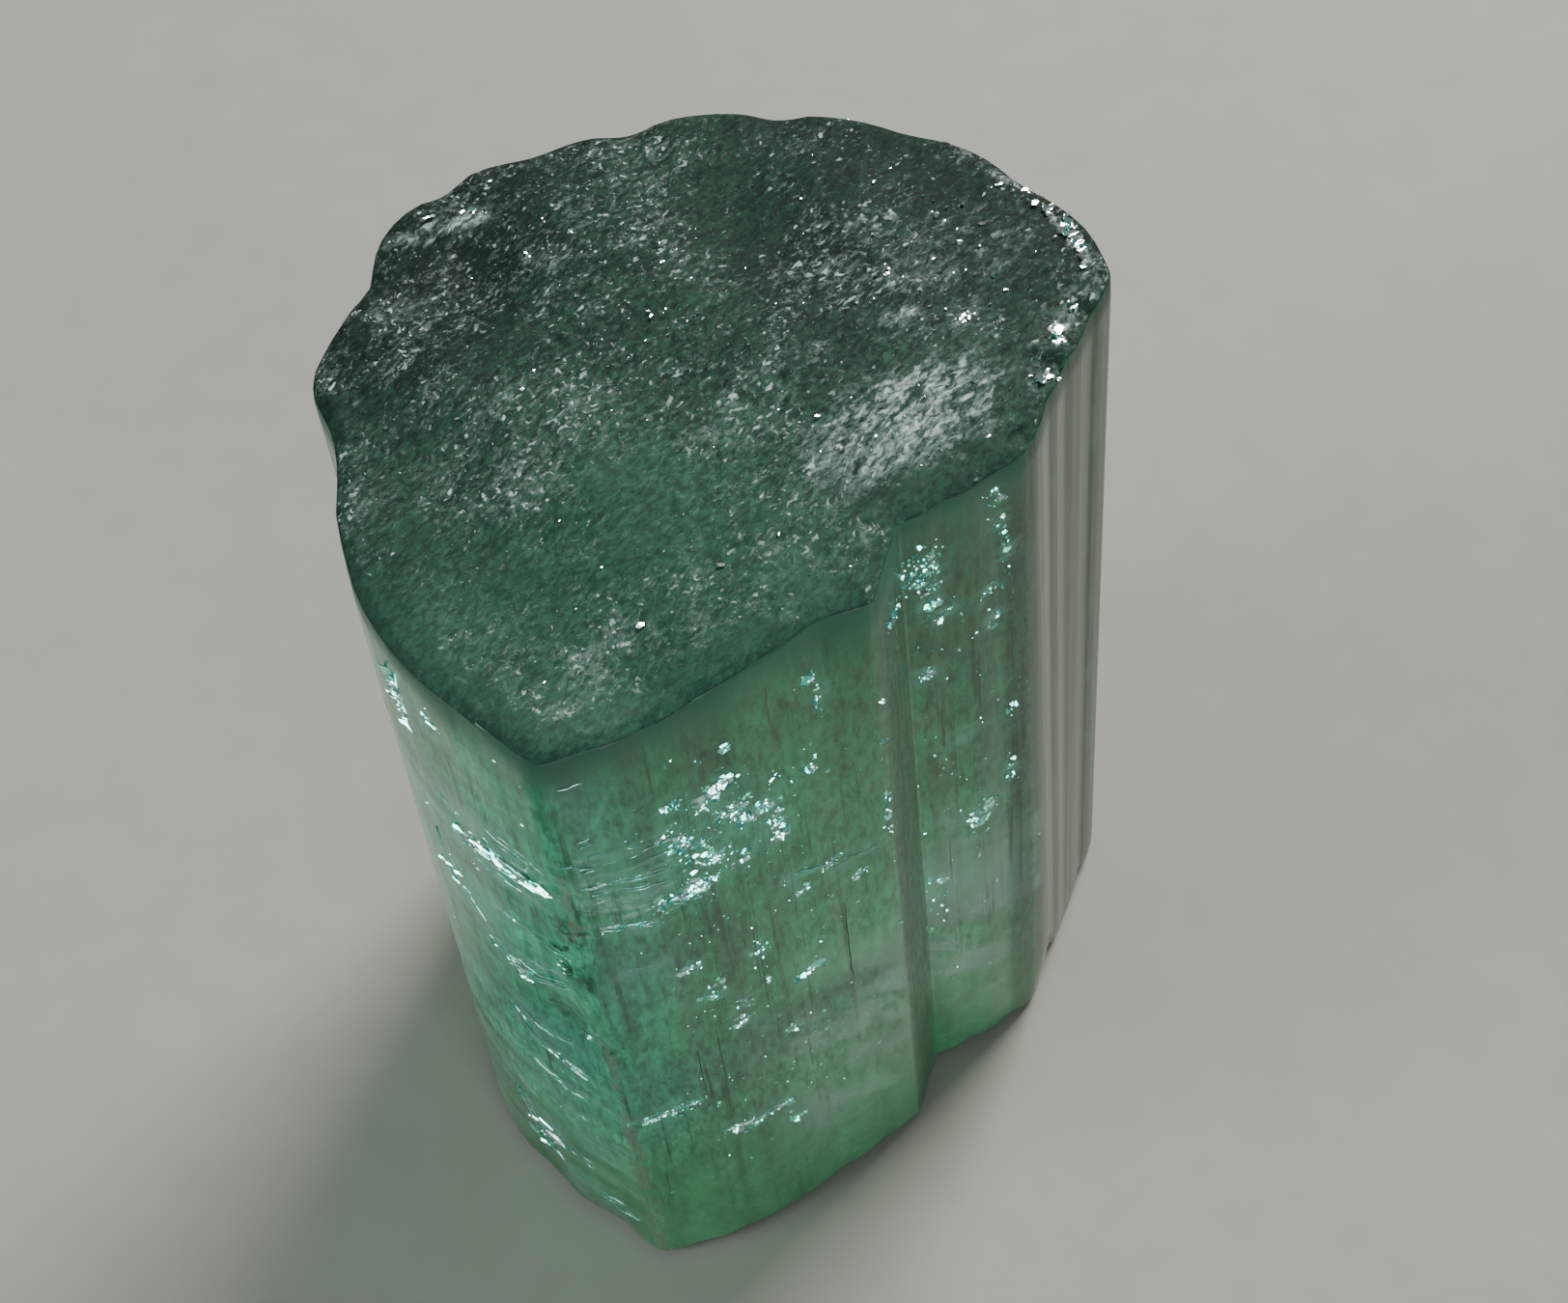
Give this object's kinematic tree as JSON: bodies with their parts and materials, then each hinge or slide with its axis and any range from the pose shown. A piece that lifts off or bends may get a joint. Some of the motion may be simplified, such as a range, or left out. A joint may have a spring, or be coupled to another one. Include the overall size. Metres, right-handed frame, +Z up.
{
  "type": "tourmaline crystal",
  "caption": "Stout green tourmaline prism, broken across both ends, with flat faces, a full-height ledge and a ribbed round back; stands on its base as gem rough or a mineral specimen.",
  "frame": {"origin": "middle of the crystal's base, on the surface it stands on", "axes": "+Z up along the crystal's long axis; -Y towards the flat front face with its ledge; +X towards the flat right face"},
  "size_m": [0.0104, 0.0102, 0.0145],
  "materials": {
    "tourmaline": "see-through green crystal, glassy and striated on its prism faces, frosted dark green on its broken top"
  },
  "bodies": {
    "root": {"tourmaline_crystal": "tourmaline"}
  },
  "joints": []
}
